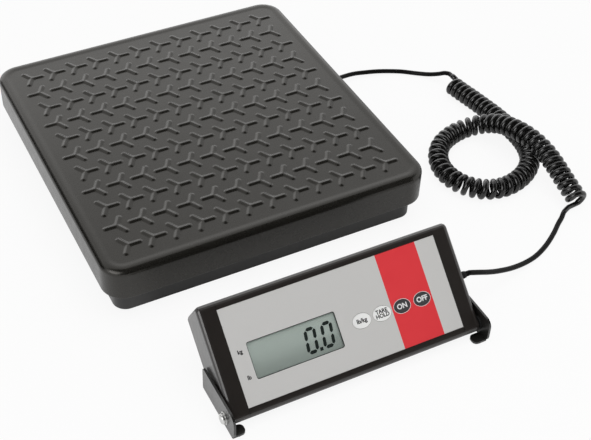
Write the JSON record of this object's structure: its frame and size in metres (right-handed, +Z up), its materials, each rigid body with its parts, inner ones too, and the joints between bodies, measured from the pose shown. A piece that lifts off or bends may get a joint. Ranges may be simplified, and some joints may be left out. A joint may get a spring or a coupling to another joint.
{
  "type": "animal weighing scale",
  "caption": "Low square platform scale with a ribbed top on load cells, joined by a coiled cord to a tilting readout in a small bracket stand.",
  "frame": {"origin": "on the table, midway between the platform's back edge and the front of the stand's arms, on the platform's middle line", "axes": "+Z up, +Y from the readout towards the platform's back edge, +X to the right as the reader sees it"},
  "size_m": [0.4739, 0.487, 0.0757],
  "materials": {
    "cover": "fine-grained charcoal moulding",
    "base": "satin black moulding",
    "rubber": "matt black rubber",
    "cord": "smooth black flexible vinyl",
    "wire": "black wire insulation",
    "steel": "zinc-plated pressed steel",
    "zinc": "bright zinc plate",
    "cell": "machined aluminium",
    "board": "solder-masked glass-fibre board",
    "housing": "satin warm black",
    "panel": "printed silver-grey film with a red field",
    "window": "clear acrylic",
    "lcd": "grey-green reflective liquid crystal",
    "switch": "black switch body",
    "key_white": "white silicone key",
    "key_dark": "dark grey silicone key",
    "battery": "printed steel jacket",
    "stand": "black powder coat",
    "nylon": "black nylon"
  },
  "bodies": {
    "base": {"base_tray": "base", "rubber_feet": "rubber", "load_cells": "cell", "cell_screws": "zinc", "junction_board": "board", "cell_wires": "wire", "platform_gland": "rubber", "platform_lead": "cord", "coiled_cord": "cord", "display_lead": "cord", "stand_bracket": "stand", "stand_pads": "rubber"},
    "platform": {"platform_cover": "cover", "platform_frame": "steel", "load_buttons": "rubber"},
    "display": {"display_housing": "housing", "left_end_cap": "housing", "right_end_cap": "housing", "display_gland": "rubber", "front_panel": "panel", "display_window": "window", "lcd_module": "lcd", "main_board": "board", "key_switches": "switch", "battery_box": "base", "batteries": "battery", "battery_contacts": "zinc", "pivot_screws": "zinc", "head_washers": "zinc", "spacer_washers": "nylon"},
    "units_key": {"units_key": "key_white"},
    "tare_key": {"tare_key": "key_white"},
    "on_key": {"on_key": "key_dark"},
    "off_key": {"off_key": "key_dark"},
    "battery_door": {"battery_door": "housing"}
  },
  "joints": [
    {"name": "platform_press", "type": "slide", "parent": "base", "child": "platform", "axis": [0, 0, -1], "range_m": [0, 0.0002], "stiffness_N_per_m": 200000, "springref_m": -0.00006},
    {"name": "display_tilt", "type": "hinge", "parent": "base", "child": "display", "pos_m": [0.004, -0.2272, 0.0116], "axis": [1, 0, 0], "range_deg": [0, 45]},
    {"name": "units_key_press", "type": "slide", "parent": "display", "child": "units_key", "axis": [0, 0.682, -0.7314], "range_m": [0, 0.0004], "stiffness_N_per_m": 900, "springref_m": -0.0004},
    {"name": "tare_key_press", "type": "slide", "parent": "display", "child": "tare_key", "axis": [0, 0.682, -0.7314], "range_m": [0, 0.0004], "stiffness_N_per_m": 900, "springref_m": -0.0004},
    {"name": "on_key_press", "type": "slide", "parent": "display", "child": "on_key", "axis": [0, 0.682, -0.7314], "range_m": [0, 0.0004], "stiffness_N_per_m": 900, "springref_m": -0.0004},
    {"name": "off_key_press", "type": "slide", "parent": "display", "child": "off_key", "axis": [0, 0.682, -0.7314], "range_m": [0, 0.0004], "stiffness_N_per_m": 900, "springref_m": -0.0004},
    {"name": "battery_door_pull", "type": "slide", "parent": "display", "child": "battery_door", "axis": [0, 0.682, -0.7314], "range_m": [0, 0.012]}
  ]
}
